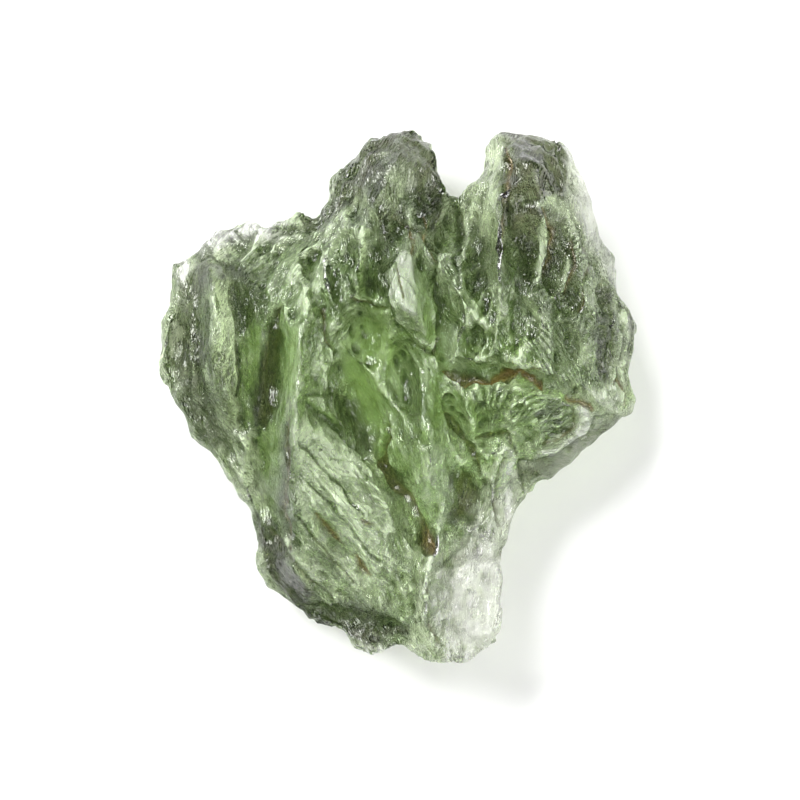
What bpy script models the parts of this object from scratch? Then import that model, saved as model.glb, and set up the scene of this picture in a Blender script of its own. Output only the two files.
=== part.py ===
"""A raw moldavite: one piece of natural green glass, fan-shaped and deeply fluted, lying on its back.

The broad sculpted face looks up (+Z). X runs across the stone, and Y along it, from the narrow foot
to the two upper lobes. The origin is on the surface that it rests on, under the middle of its outline.
Lengths in the tables are in millimetres.
"""

import bmesh
import bpy
import numpy as np
from mathutils import Vector, kdtree, noise

MM = 0.001

# Driving dimensions, in millimetres
STONE_LENGTH = 15.0
STONE_WIDTH = 13.5
EDGE_THICKNESS = 0.9
BODY_FRONT_RISE = 1.75
BODY_BACK_DROP = 1.5
SHOULDER_WIDTH = 2.9
REST_SPOT = (0.1, 1.5)
REST_SPOT_RADIUS = 3.0
REST_BULGE = 1.0
REST_CUT = 0.36

# The etched surface, in millimetres
SCALLOP_LENGTH = 1.15
SCALLOP_WIDTH = 0.46
SCALLOP_DEPTH = 0.50
FRONT_SCALLOP_SPACING = 0.72
BACK_SCALLOP_SPACING = 0.95
BIG_PIT_SPACING = 1.15
BIG_PIT_DEPTH = 0.22
SMALL_PIT_SPACING = 0.62
SMALL_PIT_DEPTH = 0.12
SCALLOP_SIZES = (0.75, 1.35)
SCALLOP_DEPTHS = (0.45, 1.0)
DEEPEST_FLUTE_FLOOR = -0.15

# How far features wander from their drawn places, over what lengths across and along the stone
DRIFT = 0.24
DRIFT_ACROSS = 1.1
DRIFT_ALONG = 1.6
DRIFT_APART = 40.0

# The waves of the sheet halfway through the stone: height, then radians for each millimetre
# along X and along Y, and the radians at the origin
SHEET_WAVES = [(0.35, 0.42, 0.0, 0.9), (0.30, -0.35, 0.50, 0.0)]

# How flutes and crests are shaped, as shares of their stated widths
GENTLE_SIDE = 1.55
STEEP_SIDE = 0.95
END_WIDTH = 0.45
CREST_WIDTH = 1.4
FLUTE_END_DEPTH = 0.6
CREST_END_HEIGHT = 0.4
SHOULDER_POWER = 0.6

# The shares of the flutes' depth at the very outline, of the scallops' depth where the stone is
# thinnest, and of the back's relief that the rest spot loses
EDGE_FLUTES = 0.25
THIN_SCALLOPS = 0.35
REST_SMOOTHNESS = 0.85

# How far from the outline each kind of relief reaches its full height, in millimetres
SWELLING_BANK = 0.9
CREST_BANK = 0.5
FLUTE_BANK = 0.8
BACK_BANK = 1.2
FACET_BANK = 0.1

# The mesh: the half thickness of the slab that it is drawn from, its grain, and its triangles
SLAB_HALF = 1.1
GRAIN = 0.12
TRIANGLES = 9400
WELD = 1e-4

# The outline seen from the front, clockwise from the tip of the left lobe
OUTLINE = [
    (-6.72, 0.75), (-6.60, 1.45), (-6.54, 2.05), (-6.36, 2.28), (-6.32, 2.72), (-6.24, 3.10),
    (-6.26, 3.72), (-5.75, 3.92), (-5.48, 4.20), (-5.22, 4.56), (-4.90, 4.68), (-4.62, 4.84),
    (-4.36, 4.98), (-4.02, 4.90), (-3.86, 4.99), (-3.54, 4.72), (-3.44, 4.94), (-3.26, 4.95),
    (-3.12, 4.82), (-3.05, 5.10), (-2.70, 5.44), (-2.46, 5.12), (-2.34, 5.02), (-2.08, 5.50),
    (-1.90, 6.12), (-1.80, 6.28), (-1.60, 6.36), (-1.20, 6.80), (-0.98, 7.08), (-0.76, 7.22),
    (-0.30, 7.40), (0.05, 7.50), (0.40, 7.50), (0.80, 7.22), (1.04, 7.00), (1.18, 6.60),
    (1.30, 6.10), (1.42, 5.75), (1.70, 5.38), (1.86, 5.62), (2.03, 5.74), (2.22, 6.10),
    (2.50, 6.30), (2.50, 6.60), (2.42, 6.80), (2.62, 7.25), (2.80, 7.38), (3.30, 7.38),
    (4.20, 7.27), (4.60, 7.24), (4.78, 7.10), (4.88, 6.80), (5.20, 6.25), (5.42, 5.70),
    (5.58, 5.15), (5.72, 4.60), (6.08, 3.95), (6.18, 3.50), (6.20, 3.05), (6.35, 2.75),
    (6.60, 2.60), (6.78, 1.98), (6.66, 1.30), (6.56, 0.95), (6.58, 0.62), (6.75, 0.05),
    (6.70, -0.38), (6.58, -0.56), (6.20, -0.80), (5.75, -1.14), (5.28, -1.48), (5.08, -1.62),
    (4.98, -1.92), (4.40, -2.16), (3.95, -2.34), (3.80, -2.66), (3.42, -3.26), (3.26, -3.58),
    (3.18, -3.95), (2.98, -4.36), (3.03, -5.30), (3.02, -6.25), (2.84, -6.84), (2.40, -7.06),
    (2.22, -7.30), (2.02, -7.42), (1.42, -7.38), (1.10, -7.50), (0.85, -7.48), (0.44, -7.14),
    (0.05, -6.98), (-0.36, -7.24), (-0.95, -7.22), (-1.28, -7.16), (-1.50, -6.62), (-1.98, -6.48),
    (-2.50, -6.22), (-3.10, -5.78), (-3.68, -5.30), (-3.92, -4.80), (-3.94, -3.95), (-4.10, -3.35),
    (-4.50, -2.80), (-4.56, -2.50), (-4.98, -1.74), (-5.42, -1.42), (-5.80, -1.18), (-5.90, -0.62),
    (-6.30, -0.05), (-6.58, 0.45),
]

# Broad swellings of the front: centre x and y, half length, half width, lean of the long axis
# clockwise from +Y in degrees, and height
FRONT_SWELLINGS = {
    "left lobe": (-5.0, 1.7, 2.0, 0.60, 2, 0.75),
    "left lobe fin": (-5.45, 3.6, 0.7, 0.28, 6, 0.75),
    "left column": (-2.75, 0.3, 3.2, 0.62, 0, 1.15),
    "left column foot": (-2.9, -3.4, 1.9, 0.60, -8, 0.75),
    "central lobe": (-0.45, 5.9, 1.7, 0.85, 12, 1.10),
    "upper ribs": (-1.6, 3.4, 1.4, 1.10, 4, 0.75),
    "central blade": (0.28, 2.55, 1.55, 0.50, -24, 1.25),
    "right lobe": (3.45, 6.1, 1.4, 0.95, 0, 1.20),
    "right lobe rim": (2.72, 4.6, 1.7, 0.34, 0, 0.95),
    "right shoulder": (5.2, 3.4, 2.2, 0.62, -18, 0.85),
    "right body": (3.9, 1.9, 1.4, 1.70, 0, 0.85),
    "right corner": (6.0, 0.9, 1.3, 0.65, 0, 0.55),
    "shell": (3.9, -0.45, 0.95, 1.65, 0, 0.95),
    "lower blade": (0.85, -1.9, 1.6, 0.55, -14, 1.10),
    "scratched plane": (-1.35, -3.2, 2.7, 1.00, -38, 1.15),
    "lower left lens": (-3.0, -5.2, 1.0, 0.45, -30, 0.55),
    "foot column": (0.95, -5.5, 1.6, 0.38, 4, 0.65),
    "foot ridge": (2.75, -3.3, 1.4, 0.26, 4, 0.55),
}

# Where the stone thins: centre x and y, half length, half width, lean, share of the rise that is lost
THIN_PLACES = {
    "foot": (2.2, -5.6, 2.6, 1.5, 6, 0.93),
    "foot top": (3.2, -3.0, 1.3, 1.1, 10, 0.75),
    "upper left crust": (-4.6, 4.7, 0.8, 1.9, 12, 0.80),
    "bottom sliver": (-0.6, -7.0, 0.6, 1.3, 0, 0.80),
    "left flank": (-5.3, -1.3, 1.6, 0.7, 52, 0.35),
    "left lobe": (-5.9, 1.6, 2.6, 1.3, 0, 0.20),
    "central lobe": (-0.4, 6.6, 1.7, 1.6, 12, 0.25),
    "right lobe": (3.7, 6.2, 2.2, 1.9, -6, 0.25),
    "right corner": (6.3, 1.4, 2.8, 1.4, -8, 0.30),
    "lower left": (-2.6, -6.2, 1.0, 2.2, 30, 0.35),
}

# Flutes and scoops of the front: centre line, half width at its middle, and depth
FRONT_FLUTES = {
    "dark groove": ([(-3.40, 2.2), (-3.45, 1.0), (-3.55, -0.2), (-3.75, -1.0)], 0.36, 1.05),
    "left lobe valley": ([(-4.45, 3.0), (-4.25, 1.6), (-4.15, 0.2), (-4.4, -0.8)], 0.36, 0.70),
    "left lobe inner": ([(-5.55, 2.9), (-5.65, 1.7), (-5.5, 0.3), (-5.3, -0.6)], 0.26, 0.45),
    "left lobe outer": ([(-6.05, 2.6), (-6.2, 1.4), (-6.05, 0.3)], 0.26, 0.45),
    "left tab": ([(-5.95, 3.8), (-5.95, 3.2), (-6.1, 2.7)], 0.28, 0.50),
    "left flank hollow": ([(-3.9, -0.9), (-3.85, -1.9), (-3.6, -2.9), (-3.3, -3.7)], 0.46, 0.85),
    "left edge flute": ([(-5.2, -0.9), (-4.7, -1.8), (-4.3, -2.8)], 0.24, 0.40),
    "lower left scoop": ([(-3.5, -3.8), (-3.5, -4.6), (-3.2, -5.3), (-2.5, -5.9)], 0.30, 0.55),
    "rim scoop": ([(-3.5, 4.5), (-2.7, 4.55), (-2.15, 5.0), (-1.8, 5.9)], 0.32, 0.70),
    "olive lens": ([(-3.2, 4.2), (-3.0, 3.8)], 0.36, 0.45),
    "pale facets": ([(-3.2, 3.4), (-2.95, 2.9), (-2.7, 2.3)], 0.30, 0.45),
    "upper rib valley 1": ([(-2.35, 4.1), (-2.3, 3.1), (-2.05, 2.1)], 0.26, 0.50),
    "upper rib valley 2": ([(-1.6, 4.6), (-1.55, 3.4), (-1.35, 2.4)], 0.28, 0.55),
    "upper rib valley 3": ([(-0.75, 4.9), (-0.8, 3.7), (-0.75, 2.7)], 0.28, 0.65),
    "central lobe scoop": ([(-1.4, 6.2), (-1.2, 5.3), (-0.9, 4.7)], 0.34, 0.40),
    "green bowl": ([(-0.9, 2.4), (-0.95, 1.8), (-0.8, 1.2)], 0.58, 0.95),
    "green leaf": ([(-1.45, 0.9), (-1.2, 0.0), (-0.9, -0.9), (-0.7, -1.6)], 0.56, 1.05),
    "green valley": ([(-0.5, -1.0), (-0.35, -1.8), (0.0, -2.5), (0.4, -3.3), (0.8, -4.0)], 0.34, 1.00),
    "blade left foot": ([(-0.1, 1.4), (0.1, 0.4), (0.35, -0.5)], 0.30, 0.55),
    "notch scoop": ([(1.65, 5.5), (1.45, 4.8), (1.15, 4.1)], 0.46, 0.85),
    "blade right flank": ([(0.75, 3.9), (1.0, 3.0), (1.35, 2.1), (1.3, 1.2)], 0.34, 0.80),
    "inner lobe valley": ([(2.2, 5.4), (2.15, 4.2), (2.2, 3.0), (2.4, 2.1)], 0.34, 0.62),
    "round dimple": ([(2.1, 1.9), (2.2, 1.3)], 0.42, 0.60),
    "right pit 1": ([(3.45, 5.7), (3.55, 5.1)], 0.42, 0.38),
    "right pit 2": ([(3.4, 4.8), (3.65, 4.3), (3.7, 3.4)], 0.40, 0.50),
    "right pit 3": ([(4.45, 4.6), (4.5, 3.8), (4.25, 3.0)], 0.34, 0.50),
    "right pit 4": ([(5.0, 4.0), (4.9, 3.1), (4.5, 2.4)], 0.32, 0.50),
    "right pit 5": ([(5.4, 4.3), (5.65, 3.3), (5.6, 2.3)], 0.26, 0.50),
    "right rib valley 1": ([(3.2, 2.9), (3.3, 2.2), (3.1, 1.4)], 0.30, 0.40),
    "right rib valley 2": ([(4.7, 1.9), (4.8, 1.2), (4.7, 0.7)], 0.34, 0.45),
    "right rib valley 3": ([(5.7, 1.8), (5.9, 1.0), (5.8, 0.2)], 0.28, 0.45),
    "ledge crease": ([(1.6, 0.7), (2.5, 0.55), (3.4, 0.6), (4.1, 0.5), (4.8, 0.05), (5.5, -0.4)], 0.20, 0.85),
    "shell hollow": ([(2.1, -0.4), (2.5, -1.0), (3.1, -1.2)], 0.42, 0.70),
    "shell groove": ([(3.3, 0.0), (3.4, -0.8), (3.6, -1.6)], 0.22, 0.35),
    "shell bowl": ([(4.3, -0.2), (4.5, -0.8), (4.2, -1.3)], 0.42, 0.55),
    "diagonal crease": ([(1.35, -0.1), (1.65, -1.0), (2.1, -1.8)], 0.22, 0.80),
    "dark hollow": ([(2.2, -1.9), (2.0, -2.7), (1.85, -3.5)], 0.40, 0.75),
    "foot groove": ([(1.6, -3.6), (1.45, -4.4), (1.15, -5.2)], 0.22, 0.30),
    "foot side": ([(3.1, -2.1), (3.1, -3.0), (3.0, -3.9)], 0.26, 0.35),
    "plane notch 1": ([(-2.5, -0.1), (-1.7, -0.9), (-1.0, -1.6)], 0.20, 0.45),
    "plane notch 2": ([(-2.3, -3.4), (-1.7, -4.1), (-1.0, -4.9), (-0.5, -5.5)], 0.22, 0.45),
    "plane notch 3": ([(-0.9, -2.7), (-0.4, -3.5), (0.1, -4.6)], 0.20, 0.35),
    "bottom gouge": ([(-2.2, -6.0), (-1.2, -6.3), (-0.2, -6.4)], 0.34, 0.55),
    "foot edge gouge": ([(0.35, -4.4), (0.45, -5.4), (0.5, -6.5)], 0.20, 0.45),
}

# Flutes and scoops of the back, which the front's picture doesn't show
BACK_FLUTES = {
    "back left flute": ([(-4.9, 3.6), (-4.6, 1.6), (-4.2, -0.6), (-3.4, -2.8)], 0.55, 0.80),
    "back outer flute": ([(-6.0, 2.2), (-5.8, 0.8), (-5.2, -0.6)], 0.40, 0.50),
    "back central flute": ([(0.2, 6.4), (-0.2, 4.8), (-0.3, 3.3)], 0.55, 0.75),
    "back notch scoop": ([(1.7, 5.2), (1.6, 4.0), (1.9, 2.6)], 0.60, 0.85),
    "back right flute": ([(3.9, 6.6), (4.0, 4.8), (3.7, 3.0), (3.3, 1.6)], 0.60, 0.85),
    "back corner flute": ([(5.6, 3.6), (5.5, 2.0), (5.0, 0.6)], 0.45, 0.65),
    "back shell scoop": ([(5.2, -0.6), (4.2, -0.9), (3.2, -1.6)], 0.50, 0.70),
    "back foot flute": ([(1.9, -3.0), (1.7, -4.6), (1.6, -6.2)], 0.50, 0.30),
    "back lower flute": ([(-0.9, -3.2), (-1.1, -4.6), (-0.9, -6.0)], 0.60, 0.85),
    "back left scoop": ([(-2.6, -3.4), (-2.7, -4.6)], 0.55, 0.65),
}

# Sharp crests of the front: centre line, half width and height
FRONT_CRESTS = {
    "central lobe rim": ([(0.75, 7.1), (1.0, 6.3), (1.2, 5.5), (1.05, 4.9), (0.6, 4.4)], 0.36, 0.55),
    "rim band crest": ([(-3.3, 4.75), (-2.5, 4.75), (-1.95, 5.3), (-1.5, 6.3), (-0.8, 7.1)], 0.26, 0.35),
    "lobe ridge": ([(0.15, 5.4), (0.45, 4.9), (0.35, 4.2), (0.1, 3.5)], 0.30, 0.35),
    "blade crest": ([(0.35, 4.2), (0.25, 3.3), (0.55, 2.3), (0.95, 1.3)], 0.30, 0.45),
    "second blade crest": ([(0.25, 1.3), (0.55, 0.3), (0.95, -0.9), (1.0, -2.2), (1.25, -3.3)], 0.30, 0.45),
    "left column crest": ([(-2.55, 2.5), (-2.6, 1.0), (-2.75, -0.6), (-2.95, -2.2), (-2.9, -3.8)], 0.34, 0.4),
    "left fin crest": ([(-5.7, 4.0), (-5.3, 4.05), (-5.05, 3.4), (-5.0, 2.4), (-4.95, 1.0)], 0.26, 0.40),
    "right lobe crest": ([(2.7, 7.2), (2.75, 6.0), (2.75, 4.6), (2.85, 3.0)], 0.30, 0.45),
    "right rim crest": ([(4.4, 7.1), (4.75, 5.7), (5.2, 4.5), (5.6, 3.3), (6.1, 2.2), (6.2, 0.9)], 0.3, 0.4),
    "crescent 1": ([(4.1, 4.9), (4.05, 3.9), (3.8, 3.1)], 0.24, 0.30),
    "crescent 2": ([(4.8, 3.7), (4.7, 3.1), (4.3, 2.6)], 0.24, 0.30),
    "ledge lip": ([(1.9, 1.0), (2.8, 0.85), (3.8, 0.95), (4.7, 0.5)], 0.26, 0.35),
    "shell lip": ([(2.9, -0.35), (3.6, -1.5), (4.3, -1.7), (5.1, -1.1), (5.5, -0.5)], 0.24, 0.30),
    "plane crest": ([(-2.7, -0.6), (-1.7, -1.3), (-0.8, -2.1), (0.0, -3.3), (0.35, -4.6)], 0.26, 0.30),
    "lens crest": ([(-3.5, -4.4), (-3.1, -5.2), (-2.3, -5.9)], 0.22, 0.30),
    "foot crest": ([(1.2, -3.4), (0.95, -4.4), (0.8, -5.6), (0.75, -6.6)], 0.24, 0.40),
}

# The way that the flutes run: x, y and the lean of the flow clockwise from +Y, in degrees
FLOW = [
    (-5.4, 2.0, 0), (-4.6, -1.5, -32), (-3.2, 4.4, 25), (-3.0, 0.5, 0), (-3.4, -3.4, -14),
    (-2.6, -5.4, -38), (-0.6, 5.9, 13), (-1.2, 2.8, 3), (-1.0, -0.4, -24), (-1.2, -3.2, -42),
    (0.4, 2.6, -16), (0.8, -1.2, -16), (0.9, -4.4, -8), (2.2, -5.6, 4), (2.9, -2.6, 8),
    (1.6, 4.4, 16), (3.4, 5.8, -5), (5.1, 4.2, -22), (3.6, 2.0, -8), (6.1, 1.0, -14),
    (4.2, -0.8, 62),
]

# The flat broken face of the foot: its outline, how high its plane is over the stone's middle sheet
# at the first corner, and the plane's slopes along X and Y
FOOT_FACET = [
    (1.05, -5.4), (1.25, -4.95), (1.9, -4.4), (2.75, -4.3),
    (3.1, -5.0), (3.1, -6.3), (2.3, -6.95), (1.45, -6.3),
]
FOOT_FACET_HEIGHT = 0.62
FOOT_FACET_SLOPES = (-0.10, 0.05)


def distance_to_segments(points, starts, ends):
    """The distance from each point to each segment, and how far along it the nearest place is."""
    run = ends - starts
    offset = points[:, None, :] - starts[None, :, :]
    share = (offset * run).sum(2) / (run * run).sum(1)
    share = np.clip(share, 0.0, 1.0)
    gap = offset - share[:, :, None] * run
    return np.sqrt((gap * gap).sum(2)), share


def depth_inside(points, corners):
    """How far each point lies from the closed outline, whichever side it is on."""
    corners = np.array(corners)
    distance, _ = distance_to_segments(points, corners, np.roll(corners, -1, axis=0))
    return distance.min(axis=1)


def inside(points, corners):
    """True for the points within the closed outline."""
    corners = np.array(corners)
    x, y = points[:, 0], points[:, 1]
    crossings = np.zeros(len(points), int)
    for (xa, ya), (xb, yb) in zip(corners, np.roll(corners, -1, axis=0)):
        straddles = (ya > y) != (yb > y)
        rise = yb - ya if yb != ya else 1.0
        crossings += straddles & (x < xa + (y - ya) * (xb - xa) / rise)
    return crossings % 2 == 1


def swelling(points, centre_x, centre_y, half_length, half_width, lean):
    """A smooth hump, 1 at its centre, whose long axis leans clockwise from +Y."""
    angle = np.radians(lean)
    dx, dy = points[:, 0] - centre_x, points[:, 1] - centre_y
    along = dx * np.sin(angle) + dy * np.cos(angle)
    across = dx * np.cos(angle) - dy * np.sin(angle)
    return np.exp(-((along / half_length) ** 2) - (across / half_width) ** 2)


def swell_from(least, along):
    """1 in the middle of a line and that least value at both of its ends."""
    return least + (1.0 - least) * np.sin(np.pi * along)


def along_line(points, line, half_width):
    """How far each point is from the line, in half widths that shrink to both ends of it, and how
    far along it; the left of the way that the line runs counts as nearer than the right."""
    line = np.array(line)
    distance, share = distance_to_segments(points, line[:-1], line[1:])
    nearest = distance.argmin(axis=1)
    rows = np.arange(len(points))
    along = (nearest + share[rows, nearest]) / (len(line) - 1)
    width = half_width * swell_from(END_WIDTH, along)
    run = (line[1:] - line[:-1])[nearest]
    offset = points - line[nearest]
    left = run[:, 0] * offset[:, 1] - run[:, 1] * offset[:, 0] > 0
    return distance[rows, nearest] / width / np.where(left, GENTLE_SIDE, STEEP_SIDE), along


def flute(points, line, half_width):
    """A hollow with a round floor, 1 deep on its line, with one gentle and one steep side."""
    reach, along = along_line(points, line, half_width)
    return np.clip(1.0 - reach ** 2, 0.0, 1.0) * swell_from(FLUTE_END_DEPTH, along)


def crest(points, line, half_width):
    """A sharp ridge, 1 high on its line, with one gentle and one steep side."""
    reach, along = along_line(points, line, half_width)
    return np.clip(1.0 - reach / CREST_WIDTH, 0.0, 1.0) * swell_from(CREST_END_HEIGHT, along)


def strongest(points, shape, features):
    """The strongest of the features at each point, so that edges stay between neighbours."""
    strength = np.zeros(len(points))
    for line, half_width, full in features.values():
        strength = np.maximum(strength, full * shape(points, line, half_width))
    return strength


def flow_angle(points):
    """The lean of the flow at each point, blended from the places where it is known."""
    total = np.zeros((len(points), 2))
    for x, y, lean in FLOW:
        weight = 1.0 / ((points[:, 0] - x) ** 2 + (points[:, 1] - y) ** 2 + 0.2) ** 2
        double = np.radians(2 * lean)
        total += weight[:, None] * np.array([np.sin(double), np.cos(double)])
    return np.arctan2(total[:, 0], total[:, 1]) / 2


def scallops(points, spacing, seed):
    """Long bowls that lie along the flow, up to 1 deep, with sharp rims where they meet."""
    chance = np.random.default_rng(seed)
    low, high = points.min(axis=0) - 1.0, points.max(axis=0) + 1.0
    sides = [np.arange(a, b, spacing) for a, b in zip(low, high)]
    sites = np.stack(np.meshgrid(*sides, indexing="ij"), axis=-1).reshape(-1, 2)
    sites += chance.uniform(-0.5, 0.5, sites.shape) * spacing
    size = chance.uniform(*SCALLOP_SIZES, len(sites))
    deep = chance.uniform(*SCALLOP_DEPTHS, len(sites))
    depth = np.zeros(len(points))
    for site, lean, scale, full in zip(sites, flow_angle(sites), size, deep):
        dx, dy = points[:, 0] - site[0], points[:, 1] - site[1]
        along = (dx * np.sin(lean) + dy * np.cos(lean)) / SCALLOP_LENGTH / scale
        across = (dx * np.cos(lean) - dy * np.sin(lean)) / SCALLOP_WIDTH / scale
        depth = np.maximum(depth, full * (1.0 - along ** 2 - across ** 2))
    return depth


def drifted(points, seed):
    """The points shifted a little to and fro, so that no feature keeps a drawn line."""
    shift = np.empty_like(points)
    for row, (x, y) in enumerate(points):
        across, along = x / DRIFT_ACROSS, y / DRIFT_ALONG
        shift[row, 0] = noise.noise(Vector((across, along, seed)))
        shift[row, 1] = noise.noise(Vector((across + DRIFT_APART, along, seed)))
    return points + DRIFT * shift


def shoulder(depth):
    """Rises from 0 at the outline to 1, steeply at first, like the side of a pebble."""
    run = np.clip(depth / SHOULDER_WIDTH, 0.0, 1.0)
    return (1.0 - (1.0 - run) ** 2) ** SHOULDER_POWER


def middle_sheet(points):
    """The gently twisted sheet halfway through the stone."""
    x, y = points[:, 0], points[:, 1]
    return sum(height * np.sin(turn_x * x + turn_y * y + start)
               for height, turn_x, turn_y, start in SHEET_WAVES)


def full_thickness(points):
    """How much of the body's thickness is there, from 1 down to nearly 0 in the thin places."""
    share = np.ones(len(points))
    for centre_x, centre_y, half_length, half_width, lean, lost in THIN_PLACES.values():
        share *= 1.0 - lost * swelling(points, centre_x, centre_y, half_length, half_width, lean)
    return share


def bank(depth, run):
    """Rises evenly from 0 at the outline to 1 at that run in from it."""
    return np.clip(depth / run, 0.0, 1.0)


def front_surface(points, depth):
    """The height of the front above the slab's middle."""
    place = drifted(points, seed=2.0)
    thickness = full_thickness(points)
    rise = BODY_FRONT_RISE * shoulder(depth) * thickness
    for *swell, height in FRONT_SWELLINGS.values():
        rise += height * bank(depth, SWELLING_BANK) * swelling(place, *swell)
    rise += strongest(place, crest, FRONT_CRESTS) * bank(depth, CREST_BANK)
    near_edge = np.clip(EDGE_FLUTES + depth / FLUTE_BANK, 0.0, 1.0)
    rise -= strongest(place, flute, FRONT_FLUTES) * near_edge
    etched = SCALLOP_DEPTH * scallops(place, FRONT_SCALLOP_SPACING, seed=5)
    rise -= etched * near_edge * (THIN_SCALLOPS + (1.0 - THIN_SCALLOPS) * thickness)
    rise = np.maximum(rise, DEEPEST_FLUTE_FLOOR)
    slope_x, slope_y = FOOT_FACET_SLOPES
    corner_x, corner_y = FOOT_FACET[0]
    facet = FOOT_FACET_HEIGHT + slope_x * (points[:, 0] - corner_x) + slope_y * (points[:, 1] - corner_y)
    share = bank(depth_inside(points, FOOT_FACET), FACET_BANK) * inside(points, FOOT_FACET)
    return middle_sheet(points) + EDGE_THICKNESS / 2 + rise * (1.0 - share) + facet * share


def back_surface(points, depth):
    """The height of the back above the slab's middle."""
    place = drifted(points, seed=7.0)
    spot = swelling(points, *REST_SPOT, REST_SPOT_RADIUS, REST_SPOT_RADIUS, 0)
    drop = BODY_BACK_DROP * shoulder(depth) * full_thickness(points)
    relief = strongest(place, flute, BACK_FLUTES)
    relief += SCALLOP_DEPTH * scallops(place, BACK_SCALLOP_SPACING, seed=12)
    drop -= relief * (1.0 - REST_SMOOTHNESS * spot) * bank(depth, BACK_BANK)
    drop += REST_BULGE * spot
    return middle_sheet(points) - EDGE_THICKNESS / 2 - np.maximum(drop, DEEPEST_FLUTE_FLOOR)


def pits(points, spacing, seed):
    """Bowls pressed close together all over, 1 deep at their middles, with sharp rims between them."""
    low, high = points.min(axis=0) - spacing, points.max(axis=0) + spacing
    sides = [np.arange(a, b, spacing) for a, b in zip(low, high)]
    centres = np.stack(np.meshgrid(*sides, indexing="ij"), axis=-1).reshape(-1, 3)
    centres += np.random.default_rng(seed).uniform(-0.45, 0.45, centres.shape) * spacing
    tree = kdtree.KDTree(len(centres))
    for index, centre in enumerate(centres):
        tree.insert(Vector(centre), index)
    tree.balance()
    reach = np.array([tree.find(Vector(point))[2] for point in points])
    return np.clip(1.0 - (reach / spacing) ** 2, 0.0, 1.0)


def evaluated_copy(obj):
    """A new mesh of the object with its modifiers applied."""
    graph = bpy.context.evaluated_depsgraph_get()
    return bpy.data.meshes.new_from_object(obj.evaluated_get(graph))


def outline_slab(half_thickness):
    """The outline as a flat slab, in millimetres."""
    curve = bpy.data.curves.new("outline", "CURVE")
    curve.dimensions = "2D"
    curve.fill_mode = "BOTH"
    curve.extrude = half_thickness
    spline = curve.splines.new("POLY")
    spline.points.add(len(OUTLINE) - 1)
    for point, (x, y) in zip(spline.points, OUTLINE):
        point.co = (x, y, 0.0, 1.0)
    spline.use_cyclic_u = True
    guide = bpy.data.objects.new("outline", curve)
    bpy.context.scene.collection.objects.link(guide)
    bpy.context.view_layer.update()
    mesh = evaluated_copy(guide)
    bpy.data.objects.remove(guide)
    bm = bmesh.new()
    bm.from_mesh(mesh)
    bmesh.ops.remove_doubles(bm, verts=bm.verts, dist=WELD)
    bm.to_mesh(mesh)
    bm.free()
    return mesh


def with_modifiers(mesh, steps):
    """The mesh after a chain of modifiers, each given as its type and its settings."""
    carrier = bpy.data.objects.new("carrier", mesh)
    bpy.context.scene.collection.objects.link(carrier)
    for kind, settings in steps:
        modifier = carrier.modifiers.new(kind, kind)
        for name, value in settings.items():
            setattr(modifier, name, value)
    bpy.context.view_layer.update()
    result = evaluated_copy(carrier)
    bpy.data.objects.remove(carrier)
    return result


def coordinates(mesh):
    flat = np.empty(len(mesh.vertices) * 3, np.float32)
    mesh.vertices.foreach_get("co", flat)
    return flat.reshape(-1, 3).astype(float)


def move_to(mesh, points):
    mesh.vertices.foreach_set("co", points.astype(np.float32).ravel())
    mesh.update()


def normals(mesh):
    flat = np.empty(len(mesh.vertices) * 3, np.float32)
    mesh.vertex_normals.foreach_get("vector", flat)
    return flat.reshape(-1, 3).astype(float)


def remesh(size):
    return ("REMESH", {"mode": "VOXEL", "voxel_size": size, "adaptivity": 0.0})


def sculpted_stone():
    """The slab drawn out to its front and back surfaces, then pitted all over."""
    mesh = with_modifiers(outline_slab(SLAB_HALF), [remesh(GRAIN)])
    points = coordinates(mesh)
    flat = points[:, :2].copy()
    depth = depth_inside(flat, OUTLINE) * inside(flat, OUTLINE)
    level = np.clip(points[:, 2] / SLAB_HALF / 2 + 0.5, 0.0, 1.0)
    points[:, 2] = back_surface(flat, depth) * (1 - level) + front_surface(flat, depth) * level
    move_to(mesh, points)
    mesh = with_modifiers(mesh, [remesh(GRAIN), ("SMOOTH", {"factor": 0.4, "iterations": 1})])
    points = coordinates(mesh)
    bowls = BIG_PIT_DEPTH * pits(points, BIG_PIT_SPACING, seed=4)
    bowls += SMALL_PIT_DEPTH * pits(points, SMALL_PIT_SPACING, seed=9)
    move_to(mesh, points - normals(mesh) * (bowls - SMALL_PIT_DEPTH)[:, None])
    return mesh


def thinned(mesh):
    """The same shape with fewer triangles."""
    triangles = sum(len(polygon.vertices) - 2 for polygon in mesh.polygons)
    settings = {"ratio": TRIANGLES / triangles, "use_collapse_triangulate": True}
    return with_modifiers(mesh, [("DECIMATE", settings)])


def ground_block():
    """A block whose top is at z = 0: whatever of the stone is inside it is ground away."""
    mesh = bpy.data.meshes.new("ground_block")
    bm = bmesh.new()
    bmesh.ops.create_cube(bm, size=2 * STONE_LENGTH)
    bmesh.ops.translate(bm, verts=bm.verts, vec=(0.0, 0.0, -STONE_LENGTH))
    bm.to_mesh(mesh)
    bm.free()
    block = bpy.data.objects.new("ground_block", mesh)
    block.hide_render = True
    block.display_type = "WIRE"
    cutters = bpy.data.collections.new("cutters")
    bpy.context.scene.collection.children.link(cutters)
    cutters.objects.link(block)
    return block


def cut_flat(mesh):
    """Lowers the stone into the ground block and cuts the flat spot that it rests on."""
    points = coordinates(mesh)
    points[:, 2] -= points[:, 2].min() + REST_CUT
    move_to(mesh, points)
    cut = {"operation": "DIFFERENCE", "solver": "EXACT", "object": ground_block()}
    return with_modifiers(mesh, [("BOOLEAN", cut), ("TRIANGULATE", {})])


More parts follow.
